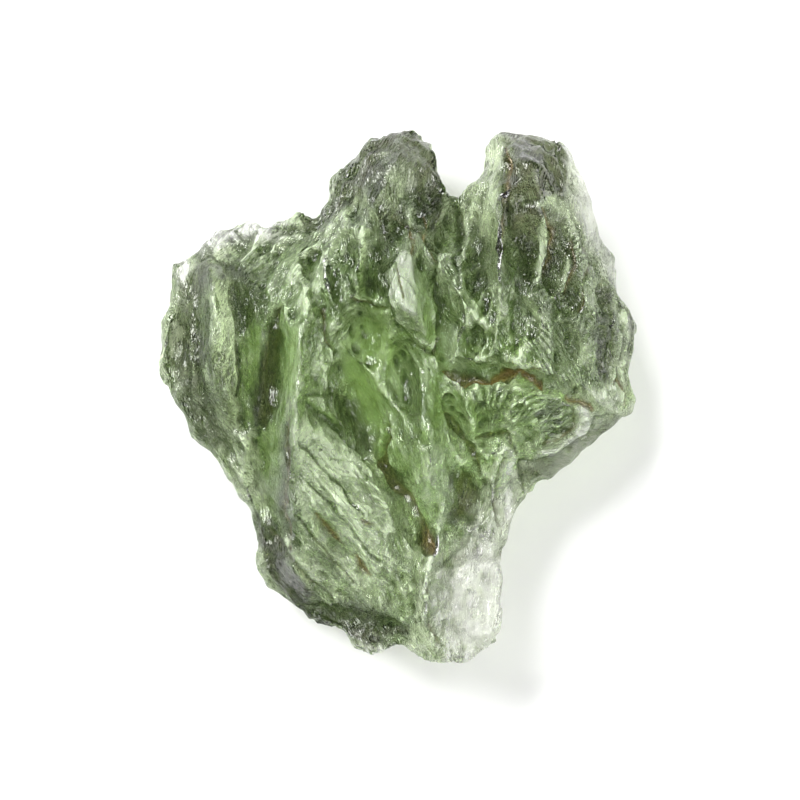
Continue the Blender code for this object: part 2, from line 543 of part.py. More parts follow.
def centre_on_origin(mesh):
    """Brings the outline's box to the driving length and width, with its middle over the origin."""
    points = coordinates(mesh)
    low, high = points.min(axis=0), points.max(axis=0)
    points[:, 0] = (points[:, 0] - (low[0] + high[0]) / 2) * STONE_WIDTH / (high[0] - low[0])
    points[:, 1] = (points[:, 1] - (low[1] + high[1]) / 2) * STONE_LENGTH / (high[1] - low[1])
    points[:, 2] = np.where(points[:, 2] < WELD, 0.0, points[:, 2])
    move_to(mesh, points * MM)


def glass():
    """Bottle-green natural glass with a silky, etched surface."""
    material = bpy.data.materials.new("moldavite_glass")
    material.use_nodes = True
    shader = material.node_tree.nodes["Principled BSDF"]
    shader.inputs["Base Color"].default_value = (0.26, 0.38, 0.17, 1.0)
    shader.inputs["Roughness"].default_value = 0.18
    shader.inputs["Metallic"].default_value = 0.0
    shader.inputs["IOR"].default_value = 1.49
    shader.inputs["Transmission Weight"].default_value = 0.7
    return material


def clear_scene():
    for obj in list(bpy.data.objects):
        bpy.data.objects.remove(obj, do_unlink=True)


def build():
    clear_scene()
    collection = bpy.data.collections.new("raw_moldavite")
    bpy.context.scene.collection.children.link(collection)
    mesh = thinned(sculpted_stone())
    mesh = cut_flat(mesh)
    centre_on_origin(mesh)
    mesh.name = "moldavite"
    mesh.materials.clear()
    mesh.materials.append(glass())
    stone = bpy.data.objects.new("moldavite", mesh)
    collection.objects.link(stone)


build()
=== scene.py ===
import math

import bpy
import numpy as np
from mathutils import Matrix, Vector, kdtree, noise


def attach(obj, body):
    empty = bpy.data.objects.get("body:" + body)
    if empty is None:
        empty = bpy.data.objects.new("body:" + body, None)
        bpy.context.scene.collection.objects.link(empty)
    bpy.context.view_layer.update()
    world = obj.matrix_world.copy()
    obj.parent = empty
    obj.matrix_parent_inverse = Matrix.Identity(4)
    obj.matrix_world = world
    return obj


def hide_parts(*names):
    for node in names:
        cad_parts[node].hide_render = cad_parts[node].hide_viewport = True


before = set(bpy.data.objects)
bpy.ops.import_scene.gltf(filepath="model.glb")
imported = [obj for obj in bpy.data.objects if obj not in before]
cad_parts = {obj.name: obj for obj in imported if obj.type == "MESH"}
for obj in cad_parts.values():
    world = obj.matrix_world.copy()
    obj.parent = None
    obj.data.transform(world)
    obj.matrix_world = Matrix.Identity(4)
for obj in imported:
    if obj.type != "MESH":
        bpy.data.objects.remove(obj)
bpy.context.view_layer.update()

# All lengths and tables are in millimetres in the part's own frame, unless a comment says otherwise
MM = 0.001

# The surface's finest mesh, how much it is smoothed over the solid's facets, and the most triangles
# that are kept of it
GRAIN = 0.056
SMOOTHING = {"factor": 0.5, "iterations": 3}
TRIANGLES = 190000

# The photograph's scale, its size and where the middle of the stone's outline is in it
PHOTO_MM_PER_PIXEL = 0.028
PHOTO_PIXELS = 800
STONE_CENTRE_PIXEL = (398, 396)

# The camera, in metres, looks down on the middle of the stone's thickness
CAMERA_DISTANCE = 0.16
STONE_MIDDLE = 0.003

# Lamps, in metres and watts: place, width and power
LAMPS = {
    "key": ((-0.16, 0.14, 0.20), 0.16, 1.35),
    "fill": ((0.20, -0.04, 0.18), 0.20, 0.7),
    "glint": ((-0.05, 0.16, 0.14), 0.04, 0.15),
}

# The sky's strength at the horizon, and from this height up, where the zenith's height is 1
SKY_LOW = 0.03
SKY_HIGH = 0.30
SKY_HEIGHT = 0.9

# The floor: half its width in metres, its colour and its roughness
FLOOR_HALF = 0.6
FLOOR_WHITE = (0.93, 0.93, 0.93, 1.0)
FLOOR_ROUGHNESS = 0.9

# The bowls etched into the surface, coarse and fine: their spacing, length, half width, depth, the
# share of the depth that smooth places lose, and the seed
BOWLS = {
    "coarse": (0.60, 0.95, 0.32, 0.20, 0.6, 21),
    "fine": (0.34, 0.42, 0.16, 0.10, 0.9, 22),
}

# How far the surface is raised before the bowls are cut, so that their rims stand proud of it
RIM = 0.05

# Height above the rest surface at which the relief starts, and over which it grows to its full depth
RELIEF_START = 0.02
RELIEF_GROWTH = 0.25

# Rounds of averaging that make the near and the far surroundings of a vertex, and how far it
# stands out of them, in millimetres, where it counts as fully proud
FINE_ROUNDS = 8
FINE_PROUD = 0.018
BROAD_ROUNDS = 110
BROAD_PROUD = 0.10

# How lines wander: the length of a wave and how far it swings
WANDER_LENGTH = 0.5
WANDER = 0.10

# How sharply a line falls off to its sides
LINE_SHARPNESS = 1.2

# How much of the front's marks a face has: this share where it stands upright, and more or less as
# it leans up or down, by 1 for this change in the height of its normal
FRONT_OF_STEEP = 0.6
FRONT_TURN = 0.3

# How far from its ends a fan of ridges fades out
FAN_FADE = 0.18

# How broad the even middle of a painted stroke is: 1 is a point, and more is broader
STROKE_FULLNESS = 1.5

# What smooth, frosted and darkened places lose: the etching in smooth ones, the hollows' and the facets'
# painted shade in frosted ones, and the painted sheen of ridges and of chips where painted shade darkens
SMOOTH_LOSES_ETCHING = 0.6
SMOOTH_LOSES_FANS = 0.85
FROST_AND_SHEEN_LOSE_SHADE = 0.6
SHADE_LOSES_RIDGE_SHEEN = 0.95
SHADE_LOSES_CHIP_GLINTS = 0.88

# How many times light may turn inside the glass
LIGHT_BOUNCES = 8

# The finest etching is cells this small across the flow. They are longer along it, and their
# pattern is slanted so that steep walls have it too
FACETS_PER_MM = 6.5
CHIPS_PER_MM = 15.0
GRAIN_STRETCH = 2.2
GRAIN_SLANT = (0.5, 0.8)

# The glass: its colour by depth, and the surface's tint where it is plain, deep green, without a
# colour of its own, in painted shade on facets, in deeper painted shade, frosted with a painted sheen,
# in the creases' painted shade, or rusty
GLASS_IOR = 1.49
DEPTH_COLOUR = (0.42, 0.68, 0.02, 1.0)
DEPTH_DENSITY = 125.0
GREEN = (0.84, 0.90, 0.72, 1.0)
VIVID_GREEN = (0.84, 0.99, 0.56, 1.0)
WATER_CLEAR = (0.97, 0.91, 1.0, 1.0)
SHADED = (0.22, 0.29, 0.12, 1.0)
# Painted shade for the darker places
PAINTED_SHADE_COLOUR = (0.026, 0.022, 0.014, 1.0)
# Pale frost with a painted sheen: green, and white where the glass has no colour of its own
FROST_AND_SHEEN_GREEN = (0.88, 1.0, 0.72, 1.0)
FROST_AND_SHEEN_WHITE = (0.93, 0.92, 0.92, 1.0)
# Painted shade of creases and hollows, and the real rust of brown creases
CREASE_SHADE = (0.06, 0.075, 0.035, 1.0)
RUST = (0.32, 0.09, 0.04, 1.0)

# The surface's roughness where it is clear and where it is frosted, how much the chips add to it,
# and the share of light that the frosted surface passes
CLEAR_ROUGHNESS = 0.03
FROSTED_ROUGHNESS = 0.28
CHIP_ROUGHNESS = 0.08
FROSTED_TRANSMISSION = 0.60

# The relief of the chips, its strength, and how much higher the fans' ridges are
CHIP_RELIEF = 0.05
BUMP_STRENGTH = 0.6
FAN_RELIEF = 2.0

# The way that the flutes run: x, y and the lean of the flow clockwise from +Y, in degrees
FLOW = [
    (-5.4, 2.0, 0), (-4.6, -1.5, -32), (-3.2, 4.4, 25), (-3.0, 0.5, 0), (-3.4, -3.4, -14),
    (-2.6, -5.4, -38), (-0.6, 5.9, 13), (-1.2, 2.8, 3), (-1.0, -0.4, -24), (-1.2, -3.2, -42),
    (0.4, 2.6, -16), (0.8, -1.2, -16), (0.9, -4.4, -8), (2.2, -5.6, 4), (2.9, -2.6, 8),
    (1.6, 4.4, 16), (3.4, 5.8, -5), (5.1, 4.2, -22), (3.6, 2.0, -8), (6.1, 1.0, -14),
    (4.2, -0.8, 62),
]


# Thin curved ridges that spread from one point: its place, the lean of the middle ridge clockwise
# from +Y, the half spread, how much they bend for each millimetre (all in degrees), how far from
# the point they start and end, the spacing in degrees, and how strong they are
FANS = {
    "shell fan left": (2.60, -1.10, -10, 34, 8, 0.15, 1.45, 11.0, 1.0),
    "shell fan middle": (2.75, -1.55, 20, 14, 10, 0.4, 2.1, 6.0, 0.9),
    "shell fan right": (3.72, -1.85, 22, 44, 26, 0.3, 2.0, 8.0, 1.0),
    "second blade rays": (0.28, 1.38, 178, 34, 0, 0.1, 1.0, 8.0, 0.6),
    "blade top rays": (0.45, 5.6, 172, 16, -3, 0.9, 3.0, 2.6, 0.7),
    "lobe rays": (-0.1, 3.6, 4, 12, 0, 1.6, 2.9, 2.4, 0.5),
    "lamellae upper": (0.66, -0.04, 45, 7, 0, 5.75, 6.35, 1.5, 1.0),
    "lamellae lower": (0.90, -1.60, 40, 6, 0, 5.4, 6.0, 1.5, 0.8),
    "body strokes": (8.6, 6.6, 222, 12, 0, 5.2, 6.2, 1.7, 0.7),
    "corner waves": (6.0, -6.0, 2, 5, -2, 6.2, 8.4, 1.0, 0.8),
    "plane scratches": (-5.6, 1.6, 138, 9, 0, 4.4, 7.4, 1.5, 0.30),
    "plane scratches low": (-6.0, 0.6, 136, 7, 0, 5.6, 8.4, 1.2, 0.25),
}

# Narrow creases of the front, which the material darkens with painted shade: line, half width, depth, and
# how brown they are
CREASES = {
    "ledge left": ([(1.3, 0.66), (1.9, 0.52), (2.6, 0.44)], 0.12, 0.16, 0.4),
    "ledge middle": ([(1.9, 0.42), (3.0, 0.50), (3.95, 0.76)], 0.09, 0.12, 1.0),
    "ledge right": ([(3.35, 0.60), (3.8, 0.46), (4.15, 0.26)], 0.10, 0.12, 1.0),
    "ledge end": ([(4.7, 0.03), (5.1, -0.15), (5.48, -0.46)], 0.11, 0.10, 1.0),
    "shell root": ([(2.2, -1.2), (2.6, -1.06), (3.0, -1.12), (3.35, -1.6)], 0.09, 0.14, 0.1),
    "long diagonal": ([(1.3, -0.3), (1.7, -1.0), (2.15, -1.75), (2.3, -2.2)], 0.10, 0.16, 0.1),
    "blade left": ([(0.0, 4.0), (-0.42, 3.4), (-0.38, 2.6), (-0.05, 1.9), (0.3, 1.45)], 0.08, 0.12, 0.0),
    "blade tip": ([(0.15, 1.5), (0.55, 1.22), (1.0, 1.15), (1.2, 1.6)], 0.08, 0.12, 0.1),
    "blade right": ([(1.0, 4.2), (0.98, 3.3), (1.18, 2.5), (1.2, 1.7)], 0.09, 0.14, 0.0),
    "blade hair 1": ([(-0.1, 3.6), (0.05, 3.1), (0.1, 2.6)], 0.035, 0.05, 0.8),
    "blade hair 2": ([(0.35, 4.9), (0.45, 4.3), (0.4, 3.9)], 0.05, 0.05, 1.0),
    "blade hair 3": ([(0.75, 5.0), (0.85, 4.3), (0.95, 3.7)], 0.05, 0.05, 0.7),
    "ring top": ([(-1.3, 2.66), (-0.8, 2.5), (-0.3, 2.34)], 0.08, 0.12, 0.2),
    "ring left": ([(-2.1, 2.5), (-2.0, 1.9), (-1.75, 1.3)], 0.10, 0.14, 0.3),
    "leaf top": ([(-2.6, -0.02), (-2.2, 0.03), (-1.8, 0.06)], 0.07, 0.12, 0.0),
    "leaf left": ([(-2.6, -0.05), (-2.2, -0.5), (-1.6, -1.0), (-0.9, -1.7)], 0.10, 0.14, 0.0),
    "central crease": ([(-0.35, -0.8), (-0.4, -1.9), (0.05, -2.6), (0.55, -3.4), (0.9, -4.2)],
                       0.14, 0.22, 0.2),
    "centre lobe arch": ([(-0.1, 5.0), (0.5, 4.7), (1.0, 4.15), (1.5, 4.0)], 0.10, 0.14, 0.1),
    "rim band": ([(-3.5, 4.6), (-2.6, 4.65), (-2.1, 5.2), (-1.5, 6.2), (-0.9, 6.9)], 0.14, 0.14, 0.0),
    "notch crease": ([(1.65, 5.35), (1.75, 4.6), (1.6, 3.8), (1.75, 3.0)], 0.12, 0.16, 0.0),
    "left groove": ([(-3.35, 2.4), (-3.5, 1.2), (-3.6, 0.0), (-3.75, -0.9)], 0.20, 0.10, 0.1),
    "column foot": ([(-3.0, -0.6), (-3.1, -2.0), (-3.2, -3.2), (-3.0, -4.3)], 0.12, 0.10, 0.4),
    "left arch": ([(-5.95, 3.0), (-5.7, 3.8), (-5.35, 4.08), (-4.95, 3.8), (-4.6, 3.4)], 0.11, 0.12, 0.0),
    "left arch inner": ([(-6.2, 3.0), (-5.9, 2.8), (-5.75, 2.1), (-5.8, 1.2)], 0.09, 0.12, 0.0),
    "left lobe line": ([(-4.55, 3.3), (-4.5, 2.2), (-4.4, 1.0), (-4.5, 0.0)], 0.10, 0.12, 0.0),
    "left lobe line 2": ([(-5.35, 2.7), (-5.35, 1.6), (-5.2, 0.5)], 0.08, 0.10, 0.0),
    "left crack": ([(-4.6, 4.7), (-4.3, 4.45), (-4.0, 4.6)], 0.08, 0.12, 0.0),
    "plane streak 1": ([(-2.3, -3.3), (-1.9, -3.75), (-1.5, -4.2)], 0.09, 0.04, 1.0),
    "plane streak 2": ([(-1.3, -4.5), (-1.05, -4.8), (-0.8, -5.0)], 0.08, 0.04, 1.0),
    "plane streak 3": ([(-0.98, -3.38), (-0.8, -3.5), (-0.62, -3.52)], 0.07, 0.03, 1.0),
    "plane line 1": ([(-2.7, -1.3), (-1.8, -2.3), (-0.9, -3.3)], 0.06, 0.07, 0.0),
    "plane line 2": ([(-2.5, -2.4), (-1.5, -3.5), (-0.5, -4.7)], 0.06, 0.08, 0.0),
    "plane line 3": ([(-2.9, -3.3), (-2.0, -4.3), (-1.2, -5.2)], 0.07, 0.08, 0.1),
    "lens line": ([(-3.6, -3.7), (-3.2, -4.3), (-2.5, -5.1), (-1.8, -5.8)], 0.09, 0.12, 0.1),
    "bottom dark": ([(-2.6, -6.0), (-1.6, -6.2), (-0.6, -6.3), (0.2, -6.5)], 0.30, 0.12, 0.0),
    "dark corner": ([(0.7, -3.6), (0.85, -4.1), (0.95, -4.4)], 0.18, 0.12, 0.6),
    "dark patch": ([(1.9, -2.2), (1.9, -2.8), (1.75, -3.3)], 0.30, 0.10, 0.1),
    "foot line": ([(1.15, -4.9), (1.6, -4.4), (2.1, -3.9), (2.6, -3.3)], 0.05, 0.08, 0.0),
    "foot side line": ([(1.0, -4.6), (0.85, -5.4), (0.95, -6.2), (1.2, -6.9)], 0.06, 0.08, 0.3),
    "pillar left": ([(2.95, -1.7), (2.82, -2.3), (2.78, -3.0), (2.85, -3.7)], 0.07, 0.12, 0.1),
    "pillar right": ([(3.42, -1.75), (3.42, -2.2), (3.5, -2.7)], 0.06, 0.08, 0.0),
    "wall line": ([(3.4, -1.85), (4.1, -1.85), (4.8, -1.45), (5.3, -1.05), (5.55, -0.6)], 0.07, 0.08, 0.0),
    "wall end": ([(5.55, -0.6), (6.0, -0.55), (6.4, -0.6)], 0.05, 0.05, 0.0),
    "bevel foot": ([(4.9, -0.35), (4.95, -0.85), (4.4, -1.25), (3.9, -1.45)], 0.05, 0.04, 0.2),
    "right face left": ([(2.95, 7.0), (3.05, 6.0), (3.0, 5.0), (2.9, 4.0)], 0.12, 0.12, 0.5),
    "right pit rim 1": ([(3.98, 5.2), (4.30, 4.6), (4.26, 3.8), (4.02, 3.1)], 0.07, 0.10, 0.4),
    "right pit rim 2": ([(4.8, 4.3), (4.93, 3.6), (4.66, 2.8)], 0.07, 0.12, 0.4),
    "right pit rim 3": ([(5.3, 4.2), (5.35, 3.4), (5.0, 2.5)], 0.07, 0.10, 0.3),
    "right bevel line": ([(4.5, 7.2), (4.65, 6.0), (4.95, 5.0), (5.3, 4.1), (5.65, 3.2)], 0.07, 0.14, 0.0),
    "corner wave 1": ([(5.9, 2.3), (6.1, 1.6), (5.9, 0.9), (6.1, 0.2)], 0.06, 0.08, 0.0),
    "corner wave 2": ([(6.3, 2.2), (6.4, 1.5), (6.25, 0.8), (6.4, 0.2)], 0.06, 0.08, 0.0),
    "corner ring": ([(6.0, 0.3), (6.3, 0.45), (6.5, 0.1), (6.4, -0.3)], 0.06, 0.08, 0.6),
}

# Places of the front: line, half width and strength. These places are whitish, partly from real frost and
# partly from a painted highlight
FROST_AND_SHEEN = {
    "blade": ([(0.20, 3.9), (0.10, 3.1), (0.40, 2.3)], 0.46, 0.85),
    "blade top": ([(0.35, 5.2), (0.40, 4.5), (0.30, 4.0)], 0.30, 0.6),
    "blade low": ([(0.30, 2.6), (0.50, 2.0)], 0.26, 0.7),
    "centre lobe face": ([(-0.3, 6.6), (0.1, 6.2), (0.2, 5.5)], 0.36, 0.25),
    "left lobe patch": ([(-4.94, 2.55), (-4.80, 1.2)], 0.22, 0.3),
    "left lobe bumps": ([(-5.35, 0.85), (-5.2, 0.5)], 0.18, 0.8),
    "left column": ([(-2.8, 1.9), (-2.75, 0.0)], 0.36, 0.2),
    "column edge": ([(-2.15, 1.5), (-2.2, 0.6)], 0.16, 0.8),
    "pale facets 1": ([(-2.95, 3.6), (-2.85, 3.1)], 0.26, 0.8),
    "pale facets 2": ([(-2.7, 2.9), (-2.6, 2.3)], 0.20, 0.8),
    "pale facets 3": ([(-2.3, 3.7), (-2.2, 2.9)], 0.16, 0.7),
    "rib 1": ([(-1.95, 4.9), (-1.8, 4.2)], 0.20, 0.5),
    "rib 2": ([(-1.0, 4.9), (-0.8, 4.0)], 0.20, 0.5),
    "left crust": ([(-5.3, 4.35), (-4.6, 4.75), (-3.9, 4.75), (-3.4, 4.5)], 0.30, 1.0),
    "left tab": ([(-6.05, 3.75), (-6.05, 3.3)], 0.18, 1.0),
    "right of the blade": ([(1.5, 1.9), (1.55, 1.2), (1.75, 0.7)], 0.24, 0.8),
    "plane top": ([(-2.6, -1.2), (-1.9, -1.5), (-1.2, -2.0)], 0.34, 0.9),
    "plane left": ([(-2.55, -2.0), (-2.2, -2.9), (-1.8, -3.6)], 0.36, 0.9),
    "plane middle": ([(-1.9, -2.2), (-1.4, -3.0), (-0.9, -3.9)], 0.26, 0.8),
    "plane right": ([(-1.1, -2.2), (-0.6, -3.0), (-0.2, -3.9)], 0.30, 0.8),
    "plane foot": ([(-1.9, -4.3), (-1.2, -5.0), (-0.5, -5.2)], 0.40, 0.7),
    "plane end": ([(-0.6, -4.3), (-0.1, -4.9)], 0.26, 0.7),
    "foot": ([(2.2, -4.2), (2.1, -5.4), (2.1, -6.9)], 1.25, 0.6),
    "foot edge": ([(1.25, -4.9), (1.2, -5.8), (1.5, -6.8)], 0.34, 0.8),
    "flank streaks": ([(-3.9, -2.2), (-3.7, -3.2)], 0.20, 0.5),
    "lens": ([(-2.3, -4.6), (-1.9, -5.3)], 0.20, 0.7),
    "second blade side": ([(0.75, -1.7), (0.95, -2.5), (1.0, -3.1)], 0.18, 0.7),
    "shell stripe": ([(3.0, -0.7), (3.3, 0.1)], 0.10, 0.5),
    "pillar": ([(3.2, -1.6), (3.12, -2.3), (3.12, -3.4)], 0.22, 0.8),
    "white bevel": ([(5.2, -0.25), (5.2, -0.7), (5.05, -1.1)], 0.22, 1.0),
    "white bevel low": ([(4.9, -1.2), (4.4, -1.5), (3.9, -1.7)], 0.15, 0.8),
    "above the bevel": ([(4.2, 0.4), (4.6, 0.2), (4.9, -0.1)], 0.16, 0.7),
    "ledge corner": ([(5.2, 0.2), (5.9, -0.2), (6.2, -0.4)], 0.20, 0.6),
    "foot top": ([(1.4, -4.9), (1.7, -5.6), (1.5, -6.1)], 0.20, 0.5),
    "right rim": ([(2.7, 7.0), (2.65, 5.6), (2.5, 5.2)], 0.20, 0.7),
    "inner line": ([(1.9, 5.2), (1.85, 4.5), (1.83, 3.8)], 0.05, 0.9),
    "crescent 1": ([(4.07, 4.85), (4.08, 4.1), (3.80, 3.15)], 0.14, 1.0),
    "crescent 2": ([(4.70, 3.70), (4.62, 3.1), (4.20, 2.64)], 0.14, 1.0),
    "bevel": ([(4.85, 7.0), (5.1, 6.0), (5.4, 5.0), (5.75, 4.1), (6.05, 3.3)], 0.28, 0.6),
    "plane": ([(-2.4, -1.2), (-1.6, -3.0), (-0.9, -4.8)], 1.15, 1.0),
    "pit lip": ([(3.9, 5.3), (4.4, 5.4), (4.7, 5.1)], 0.16, 0.7),
    "zigzag 1": ([(4.7, 4.9), (5.1, 4.4)], 0.08, 0.7),
    "zigzag 2": ([(4.8, 4.2), (5.2, 4.0)], 0.07, 0.7),
    "shoulder": ([(5.2, 3.1), (5.5, 2.6)], 0.24, 0.6),
    "body 1": ([(3.9, 1.6), (4.4, 0.9)], 0.22, 0.6),
    "body 2": ([(5.3, 1.6), (5.2, 0.9)], 0.14, 0.8),
    "corner": ([(6.4, 2.4), (6.35, 0.8), (6.4, -0.2)], 0.14, 0.9),
    "lens upper": ([(-3.2, -4.0), (-2.7, -4.7), (-2.3, -5.1)], 0.14, 0.9),
}

# Vivid green places, where clear glass is deepest
VIVID = {
    "green bowl": ([(-0.7, 2.3), (-0.5, 1.6), (-0.5, 0.9)], 0.55, 1.0),
    "green leaf": ([(-1.2, 0.8), (-0.9, 0.1), (-0.7, -0.6)], 0.45, 1.0),
    "leaf right": ([(-0.36, -0.6), (-0.4, -1.4), (-0.55, -2.0)], 0.26, 1.0),
    "round lens": ([(-1.48, 1.43), (-1.45, 1.2)], 0.24, 0.8),
    "blade foot": ([(0.7, 2.1), (0.95, 1.5)], 0.30, 0.8),
    "left flank": ([(-3.6, -1.1), (-3.5, -2.0)], 0.48, 0.9),
    "left flank low": ([(-3.6, -3.0), (-3.4, -3.5)], 0.26, 0.5),
    "left lobe": ([(-4.05, 1.8), (-4.1, 1.0), (-4.45, 0.2), (-4.6, -0.6)], 0.32, 0.9),
    "left lobe rim": ([(-6.0, 2.0), (-6.1, 1.4)], 0.24, 0.6),
    "column": ([(-2.9, 1.7), (-2.85, 0.3)], 0.36, 0.6),
    "valley": ([(0.2, -2.7), (0.4, -3.4)], 0.28, 0.8),
    "right rim": ([(2.75, 4.6), (3.0, 3.8), (3.1, 3.0)], 0.34, 0.9),
    "right body": ([(2.6, 2.3), (2.9, 1.5), (3.5, 1.2)], 0.50, 0.7),
    "shell left": ([(2.2, 0.1), (2.4, -0.6)], 0.40, 0.8),
    "shell right": ([(3.4, 0.3), (3.6, -0.7)], 0.40, 0.8),
    "plane low": ([(-1.3, -4.2), (-0.8, -4.7)], 0.26, 0.7),
    "second blade": ([(1.0, 0.4), (1.3, -0.4)], 0.40, 0.7),
    "ribs": ([(-1.2, 3.9), (-0.7, 3.2)], 0.34, 0.6),
    "olive lens": ([(-3.15, 4.15), (-3.0, 3.9)], 0.34, 0.6),
}

# Smooth places with hardly any etching
SMOOTH = {
    "green bowl": ([(-0.7, 2.3), (-0.5, 1.6), (-0.5, 0.9)], 0.55, 0.9),
    "green leaf": ([(-1.3, 0.8), (-1.0, -0.2), (-0.9, -1.2)], 0.55, 1.0),
    "left lobe": ([(-5.5, 3.4), (-5.7, 2.0), (-5.5, 0.6)], 0.70, 0.7),
    "left groove": ([(-3.9, 2.4), (-3.8, 0.8), (-4.0, -0.8)], 0.60, 0.8),
    "left column": ([(-2.85, 1.8), (-2.85, 0.0), (-3.0, -1.6), (-3.05, -3.2)], 0.40, 0.8),
    "left flank": ([(-3.6, -1.0), (-3.6, -2.4), (-3.6, -3.6)], 0.55, 0.8),
    "lens": ([(-3.4, -4.2), (-3.1, -4.9), (-2.6, -5.4)], 0.45, 0.8),
    "olive lens": ([(-3.15, 4.15), (-3.0, 3.9)], 0.38, 0.9),
    "blade": ([(0.2, 3.8), (0.3, 2.8), (0.8, 1.8)], 0.45, 0.6),
    "second blade": ([(0.45, 0.8), (0.7, -0.4), (0.5, -1.9), (0.6, -2.9)], 0.38, 0.6),
    "valley": ([(0.0, -2.1), (0.4, -3.2), (0.8, -4.1)], 0.32, 0.8),
    "right face": ([(3.6, 7.0), (3.7, 6.0), (3.9, 5.3)], 0.80, 0.8),
    "right pit": ([(3.4, 4.9), (3.4, 4.2)], 0.45, 0.8),
    "bevel": ([(4.8, 7.0), (5.1, 6.0), (5.4, 5.0), (5.75, 4.1), (6.1, 3.1)], 0.34, 1.0),
    "inner lobe": ([(2.25, 4.9), (2.2, 3.6)], 0.30, 0.6),
    "lower wall": ([(6.6, -0.5), (5.75, -0.95), (5.2, -1.4), (4.3, -2.0), (3.4, -2.2)], 0.50, 1.0),
    "pillar": ([(3.2, -1.5), (3.1, -2.3), (3.05, -3.9)], 0.40, 1.0),
    "white bevel": ([(5.2, -0.1), (5.2, -0.8), (4.6, -1.5), (3.8, -1.8)], 0.24, 0.8),
    "foot": ([(2.1, -4.7), (2.3, -5.6), (2.2, -6.4)], 0.95, 1.0),
}

# Places where the glass has no colour of its own
COLOURLESS = {
    "foot": ([(2.3, -3.9), (2.2, -5.4), (2.1, -7.0)], 1.35, 1.0),
    "foot edge": ([(1.2, -4.8), (1.2, -6.0), (1.5, -7.3)], 0.5, 0.9),
    "pillar": ([(3.2, -1.6), (3.1, -2.5), (3.0, -3.9)], 0.50, 1.0),
    "white bevel": ([(5.2, -0.1), (5.2, -0.8), (4.6, -1.5), (3.8, -1.8)], 0.26, 0.8),
    "lower wall": ([(6.6, -0.5), (5.75, -0.95), (5.2, -1.4), (4.3, -2.0), (3.4, -2.2)], 0.50, 1.0),
    "bevel": ([(4.8, 7.0), (5.1, 6.0), (5.4, 5.0), (5.75, 4.1), (6.1, 3.1)], 0.40, 0.9),
    "left crust": ([(-5.6, 4.2), (-4.6, 4.75), (-3.9, 4.75), (-3.2, 4.7)], 0.45, 1.0),
    "left tab": ([(-6.1, 3.8), (-6.1, 3.2)], 0.25, 1.0),
    "centre lobe": ([(-0.6, 6.9), (0.1, 6.2), (0.3, 5.6)], 0.50, 0.6),
    "blade": ([(0.20, 3.9), (0.10, 3.1), (0.40, 2.3)], 0.42, 0.5),
    "bottom sliver": ([(-1.2, -7.1), (-0.2, -7.1)], 0.30, 0.8),
    "right corner": ([(5.3, 0.4), (6.2, -0.3)], 0.40, 0.6),
}
